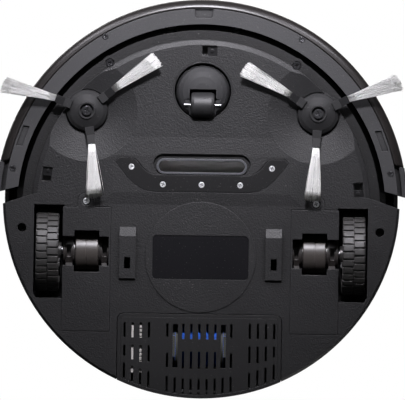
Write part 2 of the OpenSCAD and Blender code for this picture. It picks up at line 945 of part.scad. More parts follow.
module drive_arm(side) {
    axle_at = [wheel_y, wheel_r];
    plate = [
        [pivot_y, pivot_z - 5], [-48.5, 25], [-42, 22], [-36, 22], [-31, 28], [-31, 36], [-36, 40.4],
        [-70, 40.4], [pivot_y, pivot_z + 5]
    ];
    color([0.3, 0.31, 0.32]) on_side(side) difference() {
        union() {
            along_x([96.5, 101.5]) polygon(plate);
            along_x([70.5, 74.5]) polygon(plate);
            bar(5, [70.5, 101.5], [pivot_y, pivot_z]);
            box([74, 97], [-70, -60], [spring_z - 2, spring_z]);
            bar(sleeve_r, [69, barrel_x[0] - eps], axle_at);
            bar(sleeve_r, [barrel_x[1] + eps, 103.6], axle_at);
            for (x = [69.2, 74.3, 95.5, 102]) bar(sleeve_r + 1.1, [x, x + 1.2], axle_at);
        }
        bar(pivot_r + run, [60, 110], [pivot_y, pivot_z]);
        bar(axle_r + run, [60, 110], axle_at);
        for (x = [[70.5, 73.8], [97.5, 100.8]]) box(x, [-44, -35], [0, 26]);
    }
}

module gearmotor(side) {
    r = barrel_r;
    x = barrel_x;
    groove = 86;
    color([0.35, 0.36, 0.37]) on_side(side) turned_x([
        [0, x[0]], [r - 0.6, x[0]], [r, x[0] + 0.6], [r, groove - 0.4], [r - 0.7, groove - 0.4],
        [r - 0.7, groove + 0.4], [r, groove + 0.4], [r, x[1] - 0.6], [r - 0.6, x[1]], [0, x[1]]
    ], [wheel_y, wheel_r]);
}

module wheel_axle(side) {
    color([0.75, 0.76, 0.78]) on_side(side) {
        bar(axle_r, [barrel_x[1] + 0.1, 122.6], [wheel_y, wheel_r]);
        bar(4.5, [122.5, 124], [wheel_y, wheel_r]);
    }
}

module wheel_hub(side) {
    rim_r = wheel_r - 6.5;
    left = wheel_x - 7.5;
    right = wheel_x + 7.5;
    color([0.3, 0.3, 0.31]) on_side(side) difference() {
        turned_x([
            [axle_r, left - 2.5], [6, left - 2.5], [6, wheel_x - 2], [rim_r - 2.5, wheel_x - 2],
            [rim_r - 2.5, left], [rim_r, left], [rim_r, right], [rim_r - 2.5, right],
            [rim_r - 2.5, wheel_x + 2], [6, wheel_x + 2], [6, right], [axle_r, right]
        ], [wheel_y, wheel_r]);
        for (i = [0:5]) translate([0, wheel_y, wheel_r]) rotate([60 * i, 0, 0]) {
            translate([wheel_x - 5, 0, 14]) rotate([0, 90, 0]) cylinder(r = 4, h = 10);
        }
    }
}

module wheel_tyre(side) {
    rim_r = wheel_r - 6.5;
    left = wheel_x - wheel_w / 2;
    right = wheel_x + wheel_w / 2;
    color([0.1, 0.1, 0.11]) on_side(side) turned_x([
        [rim_r, left], [wheel_r - 1.5, left], [wheel_r, left + 1.5], [wheel_r, right - 1.5],
        [wheel_r - 1.5, right], [rim_r, right]
    ], [wheel_y, wheel_r]);
}

// ---------- dust bin ----------

module bin_shell() {
    color([0.2, 0.2, 0.22]) difference() {
        union() {
            difference() {
                slab([under_z, bin_top]) bin_plan(0);
                slab([under_z - 1, under_z + 3]) bin_plan(2.6);
                slab([under_z + 2, bin_top - bin_t]) bin_plan(bin_t);
            }
            for (side = [-1, 1]) {
                box([side * 34.4 - 1, side * 34.4 + 1], [bin_y - 6, bin_y - bin_t + 0.5], [flap_z - 2, flap_z + 2]);
            }
        }
        box([-31, 31], [bin_y - 3, bin_y + 1], duct_z);
        bar(1.2 + run, [-40, 40], [bin_y - 4.2, flap_z]);
        box([-12, 12], [-152, -140], [38, 50]);
    }
}

// One column of grille slots, split into rows
module slot(x, y, width) {
    rect([x - width / 2, x + width / 2], y);
}

// The last row of slots follows the round back
function last_row(x) = let(middle = -sqrt(pow(140.3, 2) - pow(x, 2))) [middle - 5.75, middle + 5.75];

module grille_slots() {
    for (x = [-18:6:18]) {
        if (abs(x) < 18) {
            slot(x, [-104.5, -93], slot_w);
            slot(x, [-127, -114], slot_w);
        }
        else slot(x, [-126, -93.5], 3.8);
    }
    for (x = [-24:6:24]) slot(x, last_row(x), slot_w);
    for (side = [-1, 1]) {
        slot(side * 24, [-103, -93], slot_w);
        slot(side * 24, [-126, -115], slot_w);
        for (i = [0:3]) {
            x = side * (37.8 + 6.13 * i);
            slot(x, [-103.8, -92.5], slot_w);
            slot(x, [max(-122, last_row(x)[1] + 5), -109.5], slot_w);
            slot(x, last_row(x), slot_w);
        }
    }
}

module bin_grille() {
    color([0.19, 0.19, 0.21]) slab([under_z, under_z + 2]) difference() {
        bin_plan(2.7);
        grille_slots();
    }
}

module bin_filter() {
    pleats = 12;
    step = 3;
    color([0.92, 0.92, 0.9]) slab([under_z + 2.3, 50]) difference() {
        rect([43, 52], [-94 - step * pleats, -94]);
        for (i = [0:pleats - 2]) {
            slot_y = -95.5 - step * i;
            polygon([[42, slot_y - 0.9], [42, slot_y - 2.1], [50, slot_y - 1.5]]);
        }
    }
}

module fan_end() {
    difference() {
        bar(fan_r + 0.4, [18, 20], [fan_y, fan_z]);
        bar(fan_r - 2.5, [17, 21], [fan_y, fan_z]);
    }
    difference() {
        union() {
            bar(4, [18, 20], [fan_y, fan_z]);
            for (i = [0:2]) translate([0, fan_y, fan_z]) rotate([120 * i, 0, 0]) {
                box([18, 20], [-1.2, 1.2], [2, fan_r - 2]);
            }
        }
        bar(1.5 + run, [17, 21], [fan_y, fan_z]);
    }
    box([18, 20], [fan_y - 8, fan_y + 8], [under_z + 2, fan_z - fan_r + 2.2]);
}

module fan_housing() {
    color([0.45, 0.55, 0.75]) {
        both_sides() fan_end();
        difference() {
            bar(fan_r, [-18.5, 18.5], [fan_y, fan_z]);
            bar(fan_r - 1.5, [-21, 21], [fan_y, fan_z]);
        }
    }
}

module fan_impeller() {
    color([0.8, 0.82, 0.85]) {
        bar(1.5, [-19.8, 19.8], [fan_y, fan_z]);
        bar(4, [-17, 17], [fan_y, fan_z]);
        for (i = [0:7]) translate([0, fan_y, fan_z]) rotate([45 * i, 0, 0]) {
            box([-16, 16], [-0.5, 0.5], [3, 13.5]);
        }
    }
}

module bin_flap() {
    hinge_y = bin_y - 4.2;
    color([0.15, 0.15, 0.16]) {
        box([-32.5, 32.5], [bin_y - 3.8, bin_y - 2.4], [duct_z[0] - 0.8, flap_z]);
        bar(1.6, [-32.5, 32.5], [hinge_y, flap_z]);
        bar(1.2, [-35.2, 35.2], [hinge_y, flap_z]);
    }
}

module bin_latch() {
    color([0.3, 0.3, 0.32]) {
        intersection() {
            box([-11.5, 11.5], [-150, -143.8], [38.5, 49.5]);
            disc(body_r, [0, 80]);
        }
        box([-14, 14], [-145.2, -143.8], [36, 52]);
    }
}

// ---------- assembly ----------

bottom_chassis();
upper_housing();
top_cover();
top_panel();
inlet_plate();
inlet_lip();
suction_duct();
wheel_cover(1);  // right_wheel_cover
wheel_cover(-1);  // left_wheel_cover
wheel_bay(1);  // right_wheel_bay
wheel_bay(-1);  // left_wheel_bay
caster_socket();
cliff_sensors();
rating_label();
chassis_screws();
battery_pack();
main_board();
brush_gearbox(1);  // right_brush_gearbox
brush_gearbox(-1);  // left_brush_gearbox
brush_motors();
pivot_pins();
suspension_spring(1);  // right_suspension_spring
suspension_spring(-1);  // left_suspension_spring
bumper_springs();
dc_jack();
bumper_frame();
bumper_fascia();
bumper_screws();
caster_turret();
caster_axle();
caster_wheel();
brush_hub(1);  // right_brush_hub
brush_bristles(1);  // right_brush_bristles
brush_screw(1);  // right_brush_screw
brush_spindle(1);  // right_brush_spindle
brush_hub(-1);  // left_brush_hub
brush_bristles(-1);  // left_brush_bristles
brush_screw(-1);  // left_brush_screw
brush_spindle(-1);  // left_brush_spindle
brush_pinion(1);  // right_brush_pinion
brush_pinion(-1);  // left_brush_pinion
drive_arm(1);  // right_drive_arm
drive_arm(-1);  // left_drive_arm
gearmotor(1);  // right_gearmotor
gearmotor(-1);  // left_gearmotor
wheel_axle(1);  // right_wheel_axle
wheel_axle(-1);  // left_wheel_axle
wheel_hub(1);  // right_wheel_hub
wheel_hub(-1);  // left_wheel_hub
wheel_tyre(1);  // right_wheel_tyre
wheel_tyre(-1);  // left_wheel_tyre
bin_shell();
bin_grille();
bin_filter();
fan_housing();
fan_impeller();
bin_flap();
bin_latch();
start_button();
power_rocker();
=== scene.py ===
"""Looks of a robot vacuum cleaner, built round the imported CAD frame.

Each sub-assembly is a class that holds its sizes in metres, makes the pieces that the CAD
only stands in for, and gives every node its finish.
"""

import json
import logging
from collections.abc import Sequence
from dataclasses import dataclass, field, replace
from enum import Enum
from typing import Any

import bpy
import numpy as np
from mathutils import Matrix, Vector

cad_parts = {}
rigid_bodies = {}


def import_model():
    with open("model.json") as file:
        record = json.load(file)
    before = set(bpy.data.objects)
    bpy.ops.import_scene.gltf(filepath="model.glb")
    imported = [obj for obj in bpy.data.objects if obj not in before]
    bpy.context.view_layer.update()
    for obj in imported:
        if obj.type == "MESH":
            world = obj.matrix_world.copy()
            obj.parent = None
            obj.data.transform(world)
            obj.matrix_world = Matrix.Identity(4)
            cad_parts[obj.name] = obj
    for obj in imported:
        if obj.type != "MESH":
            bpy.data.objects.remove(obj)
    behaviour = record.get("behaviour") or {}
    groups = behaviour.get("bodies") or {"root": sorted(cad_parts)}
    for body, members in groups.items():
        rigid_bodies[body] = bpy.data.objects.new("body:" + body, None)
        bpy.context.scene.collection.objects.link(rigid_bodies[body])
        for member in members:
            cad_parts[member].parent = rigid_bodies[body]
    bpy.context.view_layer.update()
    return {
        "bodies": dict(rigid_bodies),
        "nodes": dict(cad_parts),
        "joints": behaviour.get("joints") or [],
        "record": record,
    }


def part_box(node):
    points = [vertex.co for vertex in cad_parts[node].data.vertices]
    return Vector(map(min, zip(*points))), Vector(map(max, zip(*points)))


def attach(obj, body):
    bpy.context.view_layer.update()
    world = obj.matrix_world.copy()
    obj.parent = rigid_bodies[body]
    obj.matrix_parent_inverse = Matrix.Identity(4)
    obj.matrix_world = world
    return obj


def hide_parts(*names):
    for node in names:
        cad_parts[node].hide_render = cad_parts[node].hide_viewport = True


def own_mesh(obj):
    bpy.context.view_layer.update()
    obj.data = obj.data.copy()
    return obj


LOG = logging.getLogger("robot_vacuum")
MM = 0.001

Array = np.ndarray
Colour = tuple[float, float, float]
Point = tuple[float, float, float]
Frame = dict[str, Any]
Piece = bpy.types.Object
Node = bpy.types.Node
Tree = bpy.types.NodeTree
Socket = bpy.types.NodeSocket

FLECK_COLOUR = (0.45, 0.44, 0.42, 1.0)
MASK_GAIN = 3.5
SHADE_SAMPLES = 6
MARKS_PER_METRE = (900.0, 900.0, 6000.0)
FLECKS_PER_METRE = 900.0


class Side(Enum):
    """The robot's right is +X; the left mirrors it."""

    RIGHT = 1
    LEFT = -1

    @property
    def word(self) -> str:
        """The side's name in lower case, as the CAD nodes spell it."""
        return self.name.lower()


class Shape(Enum):
    """How the ends of a carried profile are closed."""

    OPEN = "open"
    CAPPED = "capped"
    RING = "ring"


# ---------- surfaces ----------


def grid_quads(rows: int, cols: int, wrap_rows: bool) -> Array:
    """Numbers the corners of the quads of a grid whose columns close on themselves.

    Args:
        rows: how many rows of points there are.
        cols: how many points each row has.
        wrap_rows: whether the last row joins the first.

    Returns:
        An array of quads, four point numbers each.
    """
    row, col = np.meshgrid(np.arange(rows if wrap_rows else rows - 1), np.arange(cols), indexing="ij")
    next_row, next_col = (row + 1) % rows, (col + 1) % cols
    quads = [row * cols + col, row * cols + next_col, next_row * cols + next_col, next_row * cols + col]
    return np.stack(quads, -1).reshape(-1, 4)


def signed_volume(points: Array, faces: Array) -> float:
    """Adds up the volumes of the cones from the origin to each face, fanned into triangles.

    Args:
        points: the mesh's points, one per row.
        faces: faces that all have the same number of corners.

    Returns:
        A volume that is positive where the faces point outwards.
    """
    first = points[faces[:, 0]]
    total = 0.0
    for k in range(1, faces.shape[1] - 1):
        cross = np.cross(points[faces[:, k]], points[faces[:, k + 1]])
        total += float(np.einsum("ij,ij->", first, cross))
    return total / 6


def tube_object(name: str, grids: Array, shape: Shape, smooth: bool = True) -> Piece:
    """Makes one mesh object out of several grids of the same size, each a closed tube or ring.

    Args:
        name: the piece's name.
        grids: points in metres, indexed by grid, row, column and axis.
        shape: how the rows end.
        smooth: whether the faces are shaded smooth.

    Returns:
        The object, linked into the scene, with its faces pointing outwards.
    """
    count, rows, cols, _ = grids.shape
    points = grids.reshape(-1, 3)
    starts = (np.arange(count) * rows * cols)[:, None, None]
    quads = (grid_quads(rows, cols, shape is Shape.RING)[None] + starts).reshape(-1, 4)
    parts = [quads]
    if shape is Shape.CAPPED:
        ring = np.arange(cols)
        caps = np.stack([ring[::-1], ring + (rows - 1) * cols])
        parts.append((caps[None] + starts).reshape(-1, cols))
    if sum(signed_volume(points, part) for part in parts) < 0:
        parts = [part[:, ::-1] for part in parts]
    mesh = bpy.data.meshes.new(name)
    mesh.from_pydata(points.tolist(), [], [face for part in parts for face in part.tolist()])
    mesh.polygons.foreach_set("use_smooth", np.full(len(mesh.polygons), smooth))
    mesh.update()
    piece = bpy.data.objects.new(name, mesh)
    bpy.context.scene.collection.objects.link(piece)
    return piece


def ring_offsets(first: Array, second: Array, radius: Array, sides: int) -> Array:
    """Circle of offsets: radius times (cos of the angle times first + sin times second).

    Args:
        first: unit vectors, one per path point.
        second: unit vectors square to the first ones.
        radius: the circle's radius at each path point, broadcast against the vectors.
        sides: how many points the circle has.

    Returns:
        Offsets with one more axis, of that many sides, before the last.
    """
    turn = np.linspace(0, 2 * np.pi, sides, endpoint=False)[:, None]
    circle = np.cos(turn) * first[..., None, :] + np.sin(turn) * second[..., None, :]
    return radius[..., None, None] * circle


# ---------- shader graphs ----------


@dataclass
class Graph:
    """A node tree with short calls for adding nodes and joining them."""

    tree: Tree

    def put(self, socket: Socket, value: Any) -> None:
        """Joins a socket to another one, or sets its constant."""
        if isinstance(value, Socket):
            self.tree.links.new(value, socket)
        else:
            socket.default_value = value

    def node(self, kind: str, values: dict[str | int, Any] | None = None, **settings: Any) -> Node:
        """Adds a shader node.

        Args:
            kind: the node's type without its ShaderNode prefix.
            values: its inputs, by name or number, as constants or sockets.
            settings: its own properties.

        Returns:
            The node.
        """
        made = self.tree.nodes.new("ShaderNode" + kind)
        for key, setting in settings.items():
            setattr(made, key, setting)
        for key, value in (values or {}).items():
            self.put(made.inputs[key], value)
        return made

    def math(self, operation: str, first: Any, second: Any = 0.0, clamp: bool = False) -> Socket:
        """Puts two values through one Math node and gives its result."""
        return self.node("Math", {0: first, 1: second}, operation=operation, use_clamp=clamp).outputs[0]

    def mix(self, factor: Any, first: Any, second: Any, blend: str = "MIX") -> Socket:
        """Mixes two colours and gives the result."""
        values = {0: factor, 6: first, 7: second}
        return self.node("Mix", values, data_type="RGBA", blend_type=blend).outputs[2]

    def ramp(self, value: Any, low: float, high: float) -> Socket:
        """Spreads the values from low to high over 0 to 1, held at both ends."""
        return self.node("MapRange", {"Value": value, "From Min": low, "From Max": high}).outputs[0]

    def shrunk(self, vector: Any, size: Any) -> Socket:
        """A vector counted in steps of a size."""
        values = {0: vector, "Scale": self.math("DIVIDE", 1.0, size)}
        return self.node("VectorMath", values, operation="SCALE").outputs[0]

    def object_point(self) -> Socket:
        """The shaded point in the piece's own coordinates, in metres."""
        return self.node("TexCoord").outputs["Object"]


def effect_group(
    name: str, inputs: dict[str, float | None], outputs: Sequence[str]
) -> tuple[Graph, Any, Any]:
    """Starts a shader node group.

    Args:
        name: the group's name.
        inputs: input names with their defaults; None makes a vector.
        outputs: output names; one called Normal is a vector.

    Returns:
        The group's graph, its input sockets and its output sockets.
    """
    tree = bpy.data.node_groups.new(name, "ShaderNodeTree")
    for key, value in inputs.items():
        kind = "NodeSocketVector" if value is None else "NodeSocketFloat"
        socket = tree.interface.new_socket(key, in_out="INPUT", socket_type=kind)
        if value is not None:
            socket.default_value = value
    for key in outputs:
        kind = "NodeSocketVector" if key == "Normal" else "NodeSocketFloat"
        tree.interface.new_socket(key, in_out="OUTPUT", socket_type=kind)
    entry, leave = tree.nodes.new("NodeGroupInput"), tree.nodes.new("NodeGroupOutput")
    return Graph(tree), entry.outputs, leave.inputs


class Effects:
    """Shader effects that many finishes share, each one node group built once."""

    def __init__(self) -> None:
        """Builds the groups."""
        self.grain = self._grain()
        self.edges = self._edges()
        self.dust = self._dust()
        self.painted_hollow_shade = self._build_painted_hollow_shade()
        self.brushing = self._brushing()

    @staticmethod
    def _grain() -> Tree:
        """Spark-eroded mould grain: small rounded bumps of one size with finer noise over them."""
        g, entry, leave = effect_group("mould_grain", {"Vector": None, "Size": 0.8 * MM}, ["Height"])
        scaled = g.shrunk(entry["Vector"], entry["Size"])
        rounded = {"Vector": scaled, "Scale": 1.0, "Smoothness": 0.7}
        cells = g.node("TexVoronoi", rounded, feature="SMOOTH_F1")
        noise = g.node("TexNoise", {"Vector": scaled, "Scale": 1.7, "Detail": 2.0}).outputs[0]
        g.put(leave["Height"], g.math("ADD", cells.outputs["Distance"], g.math("MULTIPLY", noise, 0.7)))
        return g.tree

    @staticmethod
    def _edges() -> Tree:
        """Rounded edges: the bevelled normal, and a mask of where it leaves the true one, which places the
        painted edge highlight.
        """
        g, entry, leave = effect_group("edge_light", {"Radius": 0.4 * MM}, ["Edge", "Normal"])
        bevel = g.node("Bevel", {"Radius": entry["Radius"]}, samples=SHADE_SAMPLES).outputs[0]
        true_normal = g.node("NewGeometry").outputs["Normal"]
        dot = g.node("VectorMath", {0: bevel, 1: true_normal}, operation="DOT_PRODUCT").outputs["Value"]
        g.put(leave["Edge"], g.math("MULTIPLY", g.math("SUBTRACT", 1.0, dot), MASK_GAIN, clamp=True))
        g.put(leave["Normal"], bevel)
        return g.tree

    @staticmethod
    def _build_painted_hollow_shade() -> Tree:
        """Painted shade: how open the piece's own surface is within a reach, 1 in the open and less in
        hollows; finishes darken their colour by it.
        """
        g, entry, leave = effect_group("hollow_shade", {"Reach": 14 * MM, "Power": 1.0}, ["Open"])
        reach = {"Distance": entry["Reach"]}
        seen = g.node("AmbientOcclusion", reach, samples=SHADE_SAMPLES, only_local=True).outputs["AO"]
        g.put(leave["Open"], g.math("POWER", seen, entry["Power"]))
        return g.tree

    @staticmethod
    def _dust() -> Tree:
        """Uneven tone from handling, and pale specks of dust."""
        inputs = {"Vector": None, "Size": 40 * MM, "Amount": 0.1}
        g, entry, leave = effect_group("dust", inputs, ["Tone", "Speck"])
        scaled = g.shrunk(entry["Vector"], entry["Size"])
        cloud = g.node("TexNoise", {"Vector": scaled, "Scale": 1.0, "Detail": 5.0, "Roughness": 0.6})
        swing = g.math("MULTIPLY", entry["Amount"], 3.0)
        shift = g.math("MULTIPLY", g.math("SUBTRACT", cloud.outputs[0], 0.5), swing)
        g.put(leave["Tone"], g.math("ADD", shift, 1.0))
        fleck = g.node("TexNoise", {"Vector": entry["Vector"], "Scale": FLECKS_PER_METRE, "Detail": 1.0})
        g.put(leave["Speck"], g.ramp(fleck.outputs[0], 0.70, 0.78))
        return g.tree

    @staticmethod
    def _brushing() -> Tree:
        """Fine turning marks: noise stretched along one axis."""
        g, entry, leave = effect_group("brushing", {"Vector": None}, ["Mark"])
        stretched = g.node("VectorMath", {0: entry["Vector"], 1: MARKS_PER_METRE}, operation="MULTIPLY")
        noise = g.node("TexNoise", {"Vector": stretched.outputs[0], "Scale": 1.0, "Detail": 3.0})
        g.put(leave["Mark"], noise.outputs[0])
        return g.tree


# ---------- finishes ----------


@dataclass(frozen=True)
class Finish:
    """Moulded plastic or rubber, with its grain, its uneven tone, painted highlights along its edges and
    painted shade in its hollows.
    """

    name: str
    colour: Colour
    roughness: float = 0.45
    specular: float = 0.5
    metallic: float = 0.0
    coat: float = 0.0
    coat_roughness: float = 0.08
    grain_size: float = 0.9 * MM
    grain_depth: float = 0.03 * MM
    edge_radius: float = 0.4 * MM
    # How strongly the colour is lightened along edges, a painted highlight.
    painted_edge_highlight: float = 0.8
    tone: float = 0.08
    tone_size: float = 45 * MM
    speck: float = 0.12
    # How strongly painted shade darkens the colour in hollows; 0 leaves it out.
    painted_hollow_shade_power: float = 0.0

    def material(self, effects: Effects) -> bpy.types.Material:
        """Builds the material, or gives the one already built under this name.

        Args:
            effects: the shared effect groups.

        Returns:
            The material.
        """
        known = bpy.data.materials.get(self.name)
        if known:
            return known
        made = bpy.data.materials.new(self.name)
        made.use_nodes = True
        made.node_tree.nodes.clear()
        g = Graph(made.node_tree)
        out = g.node("OutputMaterial")
        g.put(out.inputs["Surface"], self.surface(g, effects).outputs[0])
        return made

    def surface(self, g: Graph, effects: Effects) -> Node:
        """Adds the Principled shader with everything that feeds it.

        Args:
            g: the material's graph.
            effects: the shared effect groups.

        Returns:
            The Principled node.
        """
        point = g.object_point()
        edges = g.node("Group", node_tree=effects.edges)
        edges.inputs["Radius"].default_value = self.edge_radius
        dust = g.node("Group", node_tree=effects.dust)
        g.put(dust.inputs["Vector"], point)
        dust.inputs["Size"].default_value = self.tone_size
        dust.inputs["Amount"].default_value = self.tone
        base = self.colouring(g, point)
        tone_and_painted_shade = dust.outputs["Tone"]
        # Painted shade: ambient occlusion of the piece's own surface darkens the colour in hollows.
        if self.painted_hollow_shade_power > 0:
            painted_hollow_shade = g.node("Group", node_tree=effects.painted_hollow_shade)
            painted_hollow_shade.inputs["Power"].default_value = self.painted_hollow_shade_power
            tone_and_painted_shade = g.math("MULTIPLY", tone_and_painted_shade, painted_hollow_shade.outputs["Open"])
        toned_with_painted_shade = g.mix(1.0, base, tone_and_painted_shade, "MULTIPLY")
        # Painted highlight: the colour is lightened where the edge mask shows a rounded edge.
        highlight_gain = self.painted_edge_highlight
        highlight_colour = tuple(min(1.0, c * (1 + highlight_gain) + 0.02 * highlight_gain) for c in self.colour) + (1.0,)
        edge_highlighted = g.mix(g.math("MULTIPLY", edges.outputs["Edge"], min(1.0, highlight_gain)), toned_with_painted_shade, highlight_colour)
        specked = g.mix(g.math("MULTIPLY", dust.outputs["Speck"], self.speck), edge_highlighted, FLECK_COLOUR)
        rough = g.math("MULTIPLY", dust.outputs["Tone"], self.roughness, clamp=True)
        bump = g.node(
            "Bump",
            {
                "Height": self.relief(g, point, effects),
                "Normal": edges.outputs["Normal"],
                "Distance": self.grain_depth,
                "Strength": 1.0,
            },
        )
        return g.node(
            "BsdfPrincipled",
            {
                "Base Color": specked,
                "Roughness": rough,
                "Metallic": self.metallic,
                "Specular IOR Level": self.specular,
                "Coat Weight": self.coat,
                "Coat Roughness": self.coat_roughness,
                "Normal": bump.outputs[0],
            },
        )

    def colouring(self, g: Graph, point: Socket) -> Any:
        """The colour before tone, edges and dust."""
        return (*self.colour, 1.0)

    def relief(self, g: Graph, point: Socket, effects: Effects) -> Socket:
        """The height that the bump reads, as a share of the grain's depth."""
        grain = g.node("Group", node_tree=effects.grain)
        g.put(grain.inputs["Vector"], point)
        grain.inputs["Size"].default_value = self.grain_size
        return grain.outputs["Height"]


@dataclass(frozen=True)
class Metal(Finish):
    """Bare metal with turning marks."""

    metallic: float = 1.0
    roughness: float = 0.24
    grain_depth: float = 0.012 * MM
    painted_edge_highlight: float = 0.1
    tone: float = 0.05
    speck: float = 0.05

    def relief(self, g: Graph, point: Socket, effects: Effects) -> Socket:
        """Fine parallel marks in place of grain."""
        marks = g.node("Group", node_tree=effects.brushing)
        g.put(marks.inputs["Vector"], point)
        return marks.outputs["Mark"]


@dataclass(frozen=True)
class Striped(Finish):
    """A finish with soft bands of a second colour across one axis."""

    second: Colour = (0.5, 0.5, 0.5)
    axis: str = "X"
    pitch: float = 2 * MM
    sharpness: float = 0.2

    def wave(self, g: Graph, point: Socket) -> Socket:
        """A sine of the point's place along the axis, from 0 to 1."""
        along = g.node("SeparateXYZ", {0: point}).outputs[self.axis]
        sine = g.math("SINE", g.math("MULTIPLY", along, 2 * np.pi / self.pitch))
        return g.ramp(sine, -self.sharpness, self.sharpness)

    def colouring(self, g: Graph, point: Socket) -> Any:
        """Bands of the two colours."""
        return g.mix(self.wave(g, point), (*self.colour, 1.0), (*self.second, 1.0))


@dataclass(frozen=True)
class CircuitBoard(Finish):
    """Solder mask over square-edged copper tracks."""

    track: Colour = (0.05, 0.22, 0.09)
    pitch: float = 5 * MM

    def colouring(self, g: Graph, point: Socket) -> Any:
        """Tracks where a square-edged cell pattern comes near its cell borders."""
        values = {"Vector": point, "Scale": 1 / self.pitch}
        cells = g.node("TexVoronoi", values, feature="F1", distance="CHEBYCHEV")
        ripple = g.math("FRACT", g.math("MULTIPLY", cells.outputs["Distance"], 5.0))
        return g.mix(g.ramp(ripple, 0.45, 0.55), (*self.colour, 1.0), (*self.track, 1.0))


@dataclass(frozen=True)
class Zoned(Finish):
    """A finish that changes to a second colour past a distance from a point, in plan."""

    second: Colour = (0.01, 0.01, 0.01)
    centre: tuple[float, float] = (0.0, 0.0)
    stretch: tuple[float, float] = (1.0, 1.0)
    reach: float = 20 * MM
    blend: float = 0.4 * MM

    def colouring(self, g: Graph, point: Socket) -> Any:
        """The first colour inside the reach, the second one outside."""
        moved = g.node("VectorMath", {0: point, 1: (*self.centre, 0.0)}, operation="SUBTRACT").outputs[0]
        plan = g.node("VectorMath", {0: moved, 1: (*self.stretch, 0.0)}, operation="MULTIPLY").outputs[0]
        away = g.node("VectorMath", {0: plan}, operation="LENGTH").outputs["Value"]
        outside = g.ramp(away, self.reach - self.blend, self.reach + self.blend)
        return g.mix(outside, (*self.colour, 1.0), (*self.second, 1.0))


@dataclass(frozen=True)
class Bristle(Finish):
    """Nylon filament, with each strand's tone a little different."""

    darkest: float = 0.78

    def colouring(self, g: Graph, point: Socket) -> Any:
        """Strand tone from an attribute that holds one number per strand."""
        strand = g.node("Attribute", attribute_name="strand").outputs["Fac"]
        darkest = tuple(self.darkest * c for c in self.colour)
        return g.mix(strand, (*darkest, 1.0), (*self.colour, 1.0))


CHASSIS = Finish(
    "chassis_moulding", (0.0125, 0.0125, 0.0130), 0.48, 0.27, grain_size=1.1 * MM,
    grain_depth=0.15 * MM, tone=0.12, painted_hollow_shade_power=2.0,
)
COVER = replace(CHASSIS, name="cover_moulding", painted_edge_highlight=2.0, edge_radius=0.7 * MM)
DARK = Finish(
    "dark_moulding", (0.0115, 0.0115, 0.0118), 0.45, 0.3, grain_depth=0.06 * MM, painted_hollow_shade_power=1.2,
)
PLATE = Finish(
    "inlet_plate_moulding", (0.007, 0.007, 0.0073), 0.42, 0.22, painted_edge_highlight=2.4, edge_radius=0.5 * MM,
    painted_hollow_shade_power=1.0,
)
SOCKET = Finish("caster_socket_moulding", (0.008, 0.008, 0.0085), 0.38, painted_edge_highlight=2.0)
BUMPER_GREY = Finish(
    "bumper_moulding", (0.040, 0.040, 0.0412), 0.5, 0.22, grain_size=1.2 * MM,
    grain_depth=0.08 * MM, painted_edge_highlight=0.9, painted_hollow_shade_power=2.0,
)
GLOSS = Finish(
    "piano_black", (0.012, 0.0105, 0.010), 0.36, 0.3, coat=0.12, coat_roughness=0.3,
    grain_depth=0.002 * MM, painted_edge_highlight=0.5, speck=0.04,
)
GREY = Finish("grey_moulding", (0.11, 0.11, 0.118), 0.48)
DUCT = Finish("duct_moulding", (0.44, 0.435, 0.43), 0.5, painted_edge_highlight=0.2)
LIP = Finish(
    "lip_moulding", (0.05, 0.052, 0.057), 0.36, grain_depth=0.01 * MM, painted_edge_highlight=2.6,
    edge_radius=0.3 * MM,
)
LABEL = Finish(
    "label_film", (0.0042, 0.0042, 0.0052), 0.45, specular=0.12, grain_depth=0.006 * MM,
    painted_edge_highlight=0.6, edge_radius=0.2 * MM,
)
STEEL = Metal("zinc_screw", (0.80, 0.81, 0.83), roughness=0.42)
BLACK_SCREW = Metal("blackened_screw", (0.10, 0.10, 0.105), roughness=0.3)
# The screws more than 100 mm from the centre sit deep in their holes; their near-black second colour there
# is painted shade.
UNDER_SCREWS = Zoned(
    "underside_screws", (0.74, 0.75, 0.76), 0.4, metallic=1.0, grain_depth=0.012 * MM,
    painted_edge_highlight=0.1, tone=0.05, speck=0.05, painted_hollow_shade_power=2.5, second=(0.03, 0.03, 0.032),
    reach=100 * MM,
)
CHROME = Metal("chromed_pin", (0.30, 0.30, 0.31), roughness=0.35)
TURRET = Finish(
    "caster_turret_moulding", (0.022, 0.022, 0.0231), 0.6, 0.2, grain_depth=0.008 * MM,
    painted_edge_highlight=1.5,
)
CASTER_RUBBER = Finish(
    "caster_wheel_rubber", (0.014, 0.014, 0.0145), 0.5, 0.4, grain_size=0.6 * MM, painted_edge_highlight=0.5,
)
ARM_RIGHT = Zoned(
    "brush_moulding_right", (0.017, 0.017, 0.0175), 0.55, 0.16, grain_depth=0.012 * MM,
    painted_edge_highlight=0.7, second=(0.010, 0.010, 0.0105), centre=(86.8 * MM, 65.8 * MM), reach=18.2 * MM,
)
ARM_LEFT = replace(ARM_RIGHT, name="brush_moulding_left", centre=(-86.8 * MM, 65.8 * MM))
BARREL = Finish(
    "gearmotor_case", (0.050, 0.044, 0.040), 0.4, coat=0.1, coat_roughness=0.3,
    grain_depth=0.004 * MM, painted_edge_highlight=1.6, edge_radius=0.3 * MM,
)
DRIVE = Finish(
    "drive_moulding", (0.024, 0.021, 0.020), 0.36, coat=0.1, coat_roughness=0.3,
    grain_depth=0.01 * MM, painted_edge_highlight=1.6,
)
HUB = Finish("wheel_hub_moulding", (0.030, 0.029, 0.028), 0.36, painted_edge_highlight=0.9)
TYRE = Finish(
    "tyre_rubber_tread", (0.030, 0.029, 0.028), 0.5, grain_size=0.5 * MM, grain_depth=0.02 * MM,
    tone=0.16, painted_edge_highlight=0.9,
)
MOTOR = Metal("motor_can_plating", (0.50, 0.51, 0.53), roughness=0.32)
NYLON = Finish("natural_nylon", (0.66, 0.63, 0.55), 0.38, grain_depth=0.008 * MM, painted_edge_highlight=0.2)
